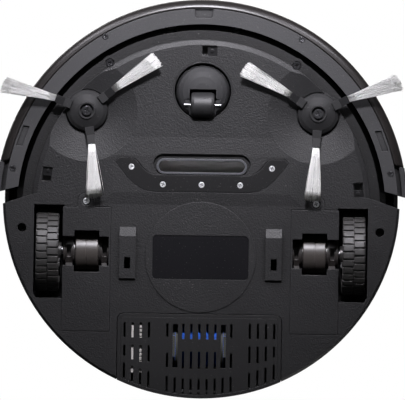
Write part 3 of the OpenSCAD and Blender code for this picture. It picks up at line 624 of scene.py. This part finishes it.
BRISTLE = Bristle(
    "nylon_filament", (0.86, 0.86, 0.835), 0.5, grain_depth=0.001 * MM, painted_edge_highlight=0.0, speck=0.0,
)
FAN_BLUE = Zoned(
    "fan_housing_blue", (0.004, 0.07, 0.40), 0.6, specular=0.2, grain_depth=0.004 * MM,
    painted_edge_highlight=1.2, second=(0.055, 0.058, 0.050), centre=(0.0, 0.0), stretch=(1.0, 0.0),
    reach=14.2 * MM,
)
SOFT_GREY = Finish(
    "soft_grey_moulding", (0.26, 0.265, 0.28), 0.42, grain_depth=0.01 * MM, painted_edge_highlight=0.5,
)
RED = Finish(
    "switch_red_moulding", (0.42, 0.018, 0.014), 0.34, grain_depth=0.006 * MM, painted_edge_highlight=0.4,
)
FILTER = Striped(
    "pleated_filter", (0.55, 0.53, 0.50), 0.85, second=(0.47, 0.45, 0.43), axis="X", pitch=2.4 * MM,
    sharpness=0.9,
)
CELLS = Striped(
    "cell_wrap_film", (0.020, 0.10, 0.30), 0.3, coat=0.4, second=(0.016, 0.08, 0.24), axis="X",
    pitch=18 * MM, sharpness=0.05,
)
BOARD = CircuitBoard(
    "circuit_board_mask", (0.010, 0.11, 0.045), 0.35, coat=0.3, grain_depth=0.004 * MM,
)
SENSOR = Finish(
    "sensor_window", (0.004, 0.004, 0.0045), 0.3, coat=0.3, grain_depth=0.002 * MM, painted_edge_highlight=1.2,
    speck=0.02,
)
LID = Finish(
    "lid_lacquer", (0.014, 0.014, 0.016), 0.16, coat=1.0, grain_depth=0.002 * MM, painted_edge_highlight=0.6,
    speck=0.03,
)
LID_GLASS = Finish(
    "lid_panel_lacquer", (0.007, 0.007, 0.009), 0.07, coat=1.0, grain_depth=0.001 * MM,
    painted_edge_highlight=0.9, speck=0.02,
)


# ---------- shared work of the sub-assemblies ----------


@dataclass
class SubAssembly:
    """What every sub-assembly needs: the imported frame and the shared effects."""

    frame: Frame
    effects: Effects

    def dress(self, finish: Finish, *nodes: str) -> None:
        """Puts a finish on CAD nodes, whose shapes stay as they are."""
        for name in nodes:
            node = self.frame["nodes"][name]
            for slot in node.material_slots:
                slot.material = finish.material(self.effects)
            LOG.info("dressed %s in %s", name, finish.name)

    def place(self, piece: Piece, finish: Finish, body: str, slot: str, *nodes: str) -> None:
        """Finishes a new piece.

        Args:
            piece: the new object, already in place.
            finish: what it is made of.
            body: the CAD body that it moves with.
            slot: the record's material slot; not used.
            nodes: the CAD nodes that it stands for.
        """
        piece.data.materials.append(finish.material(self.effects))
        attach(piece, body)
        if nodes:
            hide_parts(*nodes)
        LOG.info("made %s, %d faces, on body %s", piece.name, len(piece.data.polygons), body)


@dataclass
class CoilSpring:
    """A compression spring with closed ends."""

    name: str
    start: Point
    direction: Point
    length: float
    radius: float
    wire: float
    turns: float
    closed_turns: float = 1.0
    steps_per_turn: int = 36
    sides: int = 8

    def build(self) -> Piece:
        """Makes the spring.

        A point turns evenly about the axis and rises slowly at first and last, where the turns
        close, and evenly between; a small circle is carried along that path.

        Returns:
            The spring as one object.
        """
        steps = int(self.turns * self.steps_per_turn) + 1
        t = np.linspace(0, self.turns, steps)
        free = self.length - 2 * self.wire
        shut = 2 * self.wire * self.closed_turns
        knots = [0, self.closed_turns, self.turns - self.closed_turns, self.turns]
        rise = self.wire + np.interp(t, knots, [0, shut, free - shut, free])
        axis = np.array(self.direction, float)
        side = np.cross(axis, [1.0, 0.0, 0.0])
        side /= np.linalg.norm(side)
        other = np.cross(axis, side)
        turn = (2 * np.pi * t)[:, None]
        out = np.cos(turn) * side + np.sin(turn) * other
        path = np.array(self.start) + (self.radius - self.wire) * out + rise[:, None] * axis
        along = np.broadcast_to(axis, out.shape)
        grid = path[:, None] + ring_offsets(out, along, np.full(steps, self.wire), self.sides)
        return tube_object(self.name, grid[None], Shape.CAPPED)


# ---------- sub-assemblies ----------


@dataclass
class Chassis(SubAssembly):
    """The underside with its covers, inlet, label, sensors and screws."""

    def build(self) -> None:
        """Dresses every node of the underside."""
        self.dress(CHASSIS, "bottom_chassis")
        self.dress(COVER, "right_wheel_cover", "left_wheel_cover")
        self.dress(PLATE, "inlet_plate")
        self.dress(LIP, "inlet_lip")
        self.dress(LABEL, "rating_label")
        self.dress(SENSOR, "cliff_sensors")
        self.dress(UNDER_SCREWS, "chassis_screws")


@dataclass
class Bumper(SubAssembly):
    """The front bumper: a grey frame with a flange, a glossy strip, screws and springs."""

    radius: float = 155 * MM
    back: float = 4 * MM
    end_slope: float = 0.25
    end_reach: float = 64.625 * MM
    steps: int = 260
    spring_x: float = 25 * MM
    spring_z: float = 45 * MM
    spring_radius: float = 4 * MM
    spring_wire: float = 0.4 * MM
    spring_turns: float = 8
    travel: float = 4 * MM

    def build(self) -> None:
        """Makes the strip and the springs, and dresses the rest."""
        self.dress(BUMPER_GREY, "bumper_frame")
        self.dress(BLACK_SCREW, "bumper_screws")
        self.place(self.strip(), GLOSS, "bumper", "gloss_black", "bumper_fascia")
        self.springs()

    def section(self) -> Array:
        """The strip's closed section, as inset from the outer radius, and height.

        A quarter ellipse turns the lower edge in, a straight wall rises, a small quarter circle
        turns the upper edge in, and the inner side comes down with a step.
        """
        curve = np.linspace(0, np.pi / 2, 12)
        lower = np.stack([7.1 * (1 - np.sin(curve)), 22 - 8.8 * np.cos(curve)], -1)
        upper = np.stack([2 * (1 - np.cos(curve)), 62.5 + 2 * np.sin(curve)], -1)
        inner = np.array([[3.5, 64.5], [3.5, 18.2], [7.1, 16.8]])
        return np.concatenate([lower, [[0, 35.0], [0, 50.0]], upper, inner]) * MM

    def strip(self) -> Piece:
        """Turns the section about the bumper's axis between the two slanted ends.

        Each point of the section starts where y + slope times x equals the reach, so the ends
        are flat, and stops at the mirrored angle.
        """
        section = self.section()
        r = self.radius - section[:, 0]
        lean = np.arctan(self.end_slope)
        start = np.arcsin((self.end_reach + self.back) / (r * np.hypot(1, self.end_slope))) - lean
        share = np.linspace(0, 1, self.steps)[:, None]
        turn = start + share * (np.pi - 2 * start)
        height = np.broadcast_to(section[:, 1], turn.shape)
        grid = np.stack([r * np.cos(turn), r * np.sin(turn) - self.back, height], -1)
        return tube_object("bumper_strip", grid[None], Shape.CAPPED)

    def springs(self) -> None:
        """Makes the two springs at their rest length; nothing here shortens them as the bumper is pressed.
        """
        low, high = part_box("bumper_springs")
        length = high.y - low.y
        for side in Side:
            at = (side.value * self.spring_x, low.y, self.spring_z)
            name = side.word + "_bumper_spring"
            size = (length, self.spring_radius, self.spring_wire, self.spring_turns)
            spring = CoilSpring(name, at, (0, 1, 0), *size).build()
            nodes = ("bumper_springs",) if side is Side.RIGHT else ()
            self.place(spring, STEEL, "body", "steel", *nodes)
            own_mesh(spring)


@dataclass
class Caster(SubAssembly):
    """The front caster."""

    def build(self) -> None:
        """Dresses the caster's nodes."""
        self.dress(SOCKET, "caster_socket")
        self.dress(TURRET, "caster_turret")
        self.dress(CHROME, "caster_axle")
        self.dress(CASTER_RUBBER, "caster_wheel")


@dataclass
class SideBrush(SubAssembly):
    """A three-armed side brush with its gears."""

    side: Side
    first_arm: float
    leans: tuple[float, float, float]
    seed: int
    centre: tuple[float, float] = (86.8 * MM, 65.8 * MM)
    root: float = 25.15 * MM
    tip: float = 66.2 * MM
    strands: int = 190
    strand_radius: float = 0.15 * MM
    sides: int = 3
    root_half: float = 2.35 * MM
    tip_half: float = 6.1 * MM

    def build(self) -> None:
        """Makes the bristles and dresses the rest."""
        word = self.side.word
        self.dress(ARM_RIGHT if self.side is Side.RIGHT else ARM_LEFT, word + "_brush_hub")
        self.dress(BLACK_SCREW, word + "_brush_screw")
        self.dress(NYLON, word + "_brush_spindle", word + "_brush_pinion")
        self.place(self.bristles(), BRISTLE, word + "_brush", "bristle", word + "_brush_bristles")

    def bristles(self) -> Piece:
        """Makes the three tufts.

        A strand starts at its place in the root's oval and ends at a wider place across the tip;
        between them it runs straight out from the hub, spreads with the 1.2th power of the way
        along, leans by the tuft's angle, and sags with the square of the way along.

        Returns:
            All the strands of one brush as one object.
        """
        rng = np.random.default_rng(self.seed)
        way = np.linspace(0, 1, 7)
        tufts = []
        for i, lean in enumerate(self.leans):
            place = rng.uniform(-1, 1, self.strands)
            level = rng.uniform(-1, 1, self.strands)
            root_side = place * self.root_half
            tip_side = place * self.tip_half + rng.normal(0, 0.45 * MM, self.strands)
            cut = rng.uniform(0, 1.6 * MM, self.strands)
            rounding = 2.2 * MM * place**2 * rng.uniform(0, 1, self.strands)
            reach = self.tip - self.root - cut - rounding
            out = self.root + reach[:, None] * way
            bend = rng.normal(0, 0.35 * MM, self.strands)[:, None] * np.sin(np.pi * way)
            middle = np.tan(np.radians(lean)) * (out - self.root) * 1.4
            across = root_side[:, None] + (tip_side - root_side)[:, None] * way**1.2 + bend + middle
            root_z = 6.4 * MM + level * 0.7 * MM
            tip_z = 1.55 * MM + level * 0.25 * MM
            up = root_z[:, None] + (tip_z - root_z)[:, None] * way - 0.25 * MM * np.sin(np.pi * way)
            tufts.append(self.at_arm(i, np.stack([out, across, up], -1)))
        path = np.concatenate(tufts)
        along = path[:, -1] - path[:, 0]
        along /= np.linalg.norm(along, axis=1, keepdims=True)
        sideways = np.cross(along, [0.0, 0.0, 1.0])
        sideways /= np.linalg.norm(sideways, axis=1, keepdims=True)
        upward = np.cross(sideways, along)
        shape = (len(path), len(way), 3)
        radius = np.broadcast_to(self.strand_radius * (1 - 0.25 * way), shape[:2])
        beside = np.broadcast_to(sideways[:, None], shape)
        above = np.broadcast_to(upward[:, None], shape)
        offsets = ring_offsets(beside, above, radius, self.sides)
        piece = tube_object(self.side.word + "_bristle_tufts", path[:, :, None] + offsets, Shape.CAPPED)
        tone = np.repeat(rng.uniform(0, 1, len(path)), len(way) * self.sides)
        attribute = piece.data.attributes.new("strand", "FLOAT", "POINT")
        attribute.data.foreach_set("value", tone.astype(np.float32))
        return piece

    def at_arm(self, number: int, points: Array) -> Array:
        """Turns points given along the +X arm onto an arm, and mirrors the left brush.

        Args:
            number: which arm, from 0.
            points: out from the brush's centre, across and up.

        Returns:
            The points in the frame.
        """
        turn = np.radians(self.first_arm + 120 * number)
        x = points[..., 0] * np.cos(turn) - points[..., 1] * np.sin(turn)
        y = points[..., 0] * np.sin(turn) + points[..., 1] * np.cos(turn)
        return np.stack([self.side.value * (self.centre[0] + x), self.centre[1] + y, points[..., 2]], -1)


@dataclass
class DriveUnit(SubAssembly):
    """A drive wheel on its sprung arm, with the gearmotor and the bay round it."""

    side: Side
    wheel_x: float = 115 * MM
    wheel_y: float = -39.3 * MM
    wheel_r: float = 31 * MM
    wheel_w: float = 17 * MM
    rim_r: float = 24.5 * MM
    blocks: int = 34
    groove: float = 1.7 * MM
    groove_depth: float = 1.5 * MM
    groove_wall: float = 0.06
    spring_at: tuple[float, float] = (86 * MM, -65 * MM)
    spring_radius: float = 5 * MM
    spring_wire: float = 0.5 * MM
    spring_turns: float = 9

    def build(self) -> None:
        """Makes the tyre and the spring, and dresses the rest."""
        word = self.side.word
        self.dress(DARK, word + "_wheel_bay")
        self.dress(DRIVE, word + "_drive_arm")
        self.dress(BARREL, word + "_gearmotor")
        self.dress(CHROME, word + "_wheel_axle")
        self.dress(HUB, word + "_wheel_hub")
        self.place(self.tyre(), TYRE, word + "_wheel", "tyre_rubber", word + "_wheel_tyre")
        low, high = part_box(word + "_suspension_spring")
        at = (self.side.value * self.spring_at[0], self.spring_at[1], low.z)
        name = word + "_suspension_coil"
        size = (high.z - low.z, self.spring_radius, self.spring_wire, self.spring_turns)
        spring = CoilSpring(name, at, (0, 0, 1), *size).build()
        self.place(spring, STEEL, "body", "steel", word + "_suspension_spring")

    def groove_mask(self, turn: Array, shift: float) -> Array:
        """How deep a row's cross groove is at each angle: 0 on a block, 1 in the groove."""
        pitch = 2 * np.pi / self.blocks
        phase = np.mod(turn / pitch + shift, 1.0)
        part = self.groove / (self.wheel_r * pitch)
        wall = self.groove_wall
        return np.interp(phase, [0, 1 - part, 1 - part + wall, 1 - wall, 1], [0, 0, 1, 1, 0])

    def tyre(self) -> Piece:
        """Makes the tyre with two staggered rows of blocks.

        A closed section goes round the axle; the radius of each point is the section's, held
        down to the groove's bottom by the mask of its own row where the angle is in a groove.
        """
        pitch = 2 * np.pi / self.blocks
        part = self.groove / (self.wheel_r * pitch)
        corners = np.array([0, 1 - part, 1 - part + self.groove_wall, 1 - self.groove_wall])
        marks = (np.arange(self.blocks)[:, None] + corners).ravel()
        turn = np.sort(np.concatenate([marks, marks + 0.5]) * pitch % (2 * np.pi))[:, None]
        half = self.wheel_w / MM / 2
        top = self.wheel_r / MM
        rim = self.rim_r / MM
        section = np.array(
            [[-half, rim], [-half, top - 1.9], [-half, top - 1.2], [-half + 0.5, top - 0.35],
             [-half + 1.4, top],
             [-0.45, top], [-0.3, top - 1.2], [0.3, top - 1.2], [0.45, top],
             [half - 1.4, top], [half - 0.5, top - 0.35], [half, top - 1.2], [half, top - 1.9], [half, rim]]
        ) * MM
        mask = np.where(section[:, 0] < 0, self.groove_mask(turn, 0.0), self.groove_mask(turn, 0.5))
        depth = np.minimum(section[:, 1], self.wheel_r - self.groove_depth)
        r = section[:, 1] + (depth - section[:, 1]) * mask
        x = np.broadcast_to(self.side.value * (self.wheel_x + section[:, 0]), r.shape)
        grid = np.stack([x, self.wheel_y + r * np.cos(turn), self.wheel_r + r * np.sin(turn)], -1)
        return tube_object(self.side.word + "_tyre_tread", grid[None], Shape.RING, smooth=False)


@dataclass
class DustBin(SubAssembly):
    """The dust bin with its grille, filter, fan, flap and latch."""

    def build(self) -> None:
        """Dresses the bin's nodes."""
        self.dress(DARK, "bin_shell", "bin_grille", "bin_flap")
        self.dress(GREY, "bin_latch")
        self.dress(FILTER, "bin_filter")
        self.dress(FAN_BLUE, "fan_housing")
        self.dress(SOFT_GREY, "fan_impeller")


@dataclass
class UpperBody(SubAssembly):
    """The housing, the lid and the controls."""

    def build(self) -> None:
        """Dresses the upper nodes."""
        self.dress(DARK, "upper_housing", "dc_jack")
        self.dress(LID, "top_cover")
        self.dress(LID_GLASS, "top_panel")
        self.dress(SOFT_GREY, "start_button")
        self.dress(RED, "power_rocker")


@dataclass
class Insides(SubAssembly):
    """What is enclosed: duct, battery, board, gearboxes, motors and pins."""

    def build(self) -> None:
        """Dresses the enclosed nodes."""
        self.dress(DUCT, "suction_duct")
        self.dress(GREY, "right_brush_gearbox", "left_brush_gearbox")
        self.dress(CELLS, "battery_pack")
        self.dress(BOARD, "main_board")
        self.dress(MOTOR, "brush_motors")
        self.dress(STEEL, "pivot_pins")


# ---------- floor, light and camera ----------

COOL: Colour = (0.95, 0.93, 1.0)


@dataclass(frozen=True)
class Softbox:
    """One soft light."""

    name: str
    at: Point
    towards: Point
    size: tuple[float, float]
    watts: float
    colour: Colour = (1.0, 1.0, 1.0)
    spread: float = 180.0

    def build(self) -> None:
        """Makes the area light, which the camera doesn't see."""
        data = bpy.data.lights.new(self.name, "AREA")
        data.shape = "RECTANGLE"
        data.size, data.size_y = self.size
        data.energy = self.watts
        data.color = self.colour
        data.spread = np.radians(self.spread)
        lamp = bpy.data.objects.new(self.name, data)
        bpy.context.scene.collection.objects.link(lamp)
        back = np.array(self.at) - np.array(self.towards)
        back /= np.linalg.norm(back)
        side = np.cross([0.0, 1.0, 0.0] if abs(back[1]) < 0.9 else [0.0, 0.0, 1.0], back)
        side /= np.linalg.norm(side)
        turned = np.eye(4)
        turned[:3, :4] = np.stack([side, np.cross(back, side), back, np.array(self.at)], -1)
        lamp.matrix_world = Matrix(turned.tolist())
        lamp.visible_camera = False


@dataclass
class Studio:
    """A pale floor, soft lights above and below, and the camera."""

    effects: Effects
    tilt: float = 0.0148
    aside: float = -0.9 * MM
    view_width: float = 305.4 * MM
    distance: float = 4.0
    focus_height: float = 30 * MM
    sensor: float = 36.0
    floor_half: float = 3.0
    lights: tuple[Softbox, ...] = field(
        default=(
            Softbox("front_right_key", (0.36, 0.58, -0.24), (0.0, 0.04, 0.01), (0.24, 0.12), 2.4, COOL),
            Softbox("front_left_key", (-0.36, 0.58, -0.24), (0.0, 0.04, 0.01), (0.24, 0.12), 2.4, COOL),
            Softbox("front_pool", (0.0, 0.85, -1.0), (0.0, 0.13, 0.0), (0.2, 0.2), 0.85, COOL, 26.0),
            Softbox("under_fill", (0.0, 1.3, -1.5), (0.0, 0.0, 0.0), (0.8, 0.4), 3.0),
            Softbox("top_key", (0.3, 0.5, 1.5), (0.0, 0.0, 0.0), (1.2, 1.2), 26.0),
            Softbox("top_rear", (-0.5, -1.2, 0.9), (0.0, 0.0, 0.04), (1.0, 0.5), 12.0),
        )
    )

    def build(self) -> None:
        """Makes the camera, the floor, the lights and the surroundings."""
        self.camera()
        self.floor()
        for light in self.lights:
            light.build()
        self.surroundings()
        bpy.context.scene.view_settings.view_transform = "Standard"

    def camera(self) -> None:
        """Looks straight up at the underside, with the front at the top of the frame."""
        data = bpy.data.cameras.new("underside_camera")
        data.sensor_width = self.sensor
        data.lens = self.sensor * self.distance / self.view_width
        data.clip_end = 50.0
        eye = bpy.data.objects.new("underside_camera", data)
        bpy.context.scene.collection.objects.link(eye)
        c, s = np.cos(self.tilt), np.sin(self.tilt)
        below = self.focus_height - self.distance
        rows = [[-c, s, 0, self.aside], [s, c, 0, 0], [0, 0, -1, below], [0, 0, 0, 1]]
        eye.matrix_world = Matrix(rows)
        bpy.context.scene.camera = eye

    def floor(self) -> None:
        """A pale floor that shows from above and lets the view and the light through from below."""
        h = self.floor_half
        mesh = bpy.data.meshes.new("studio_floor")
        mesh.from_pydata([(-h, -h, 0), (h, -h, 0), (h, h, 0), (-h, h, 0)], [], [(0, 1, 2, 3)])
        floor = bpy.data.objects.new("studio_floor", mesh)
        bpy.context.scene.collection.objects.link(floor)
        made = bpy.data.materials.new("pale_floor")
        made.use_nodes = True
        made.node_tree.nodes.clear()
        g = Graph(made.node_tree)
        front = g.math("SUBTRACT", 1.0, g.node("NewGeometry").outputs["Backfacing"])
        seen = g.math("MULTIPLY", g.node("LightPath").outputs["Is Camera Ray"], front)
        pale = g.node("BsdfDiffuse", {"Color": (0.78, 0.78, 0.79, 1.0)})
        clear = g.node("BsdfTransparent")
        mixed = g.node("MixShader", {0: seen, 1: clear.outputs[0], 2: pale.outputs[0]})
        g.put(g.node("OutputMaterial").inputs["Surface"], mixed.outputs[0])
        mesh.materials.append(made)

    def surroundings(self) -> None:
        """White where the camera looks past the floor, and a softer grey for light and reflections."""
        world = bpy.data.worlds.new("studio_surroundings")
        bpy.context.scene.world = world
        world.use_nodes = True
        world.node_tree.nodes.clear()
        g = Graph(world.node_tree)
        seen = g.node("Background", {"Color": (1.0, 1.0, 1.0, 1.0), "Strength": 1.0})
        soft = g.node("Background", {"Color": (1.0, 1.0, 1.0, 1.0), "Strength": 0.05})
        path = g.node("LightPath").outputs["Is Camera Ray"]
        mixed = g.node("MixShader", {0: path, 1: soft.outputs[0], 2: seen.outputs[0]})
        g.put(g.node("OutputWorld").inputs["Surface"], mixed.outputs[0])


def main() -> None:
    """Builds the studio and the sub-assemblies in order."""
    logging.basicConfig(level=logging.INFO, format="%(name)s: %(message)s")
    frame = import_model()
    effects = Effects()
    Studio(effects).build()
    Chassis(frame, effects).build()
    Bumper(frame, effects).build()
    Caster(frame, effects).build()
    SideBrush(frame, effects, Side.RIGHT, 21.0, (-5.0, 2.5, 3.5), seed=11).build()
    SideBrush(frame, effects, Side.LEFT, 27.0, (-6.0, 3.0, 0.0), seed=23).build()
    for side in Side:
        DriveUnit(frame, effects, side).build()
    DustBin(frame, effects).build()
    UpperBody(frame, effects).build()
    Insides(frame, effects).build()


if __name__ == "__main__":
    main()
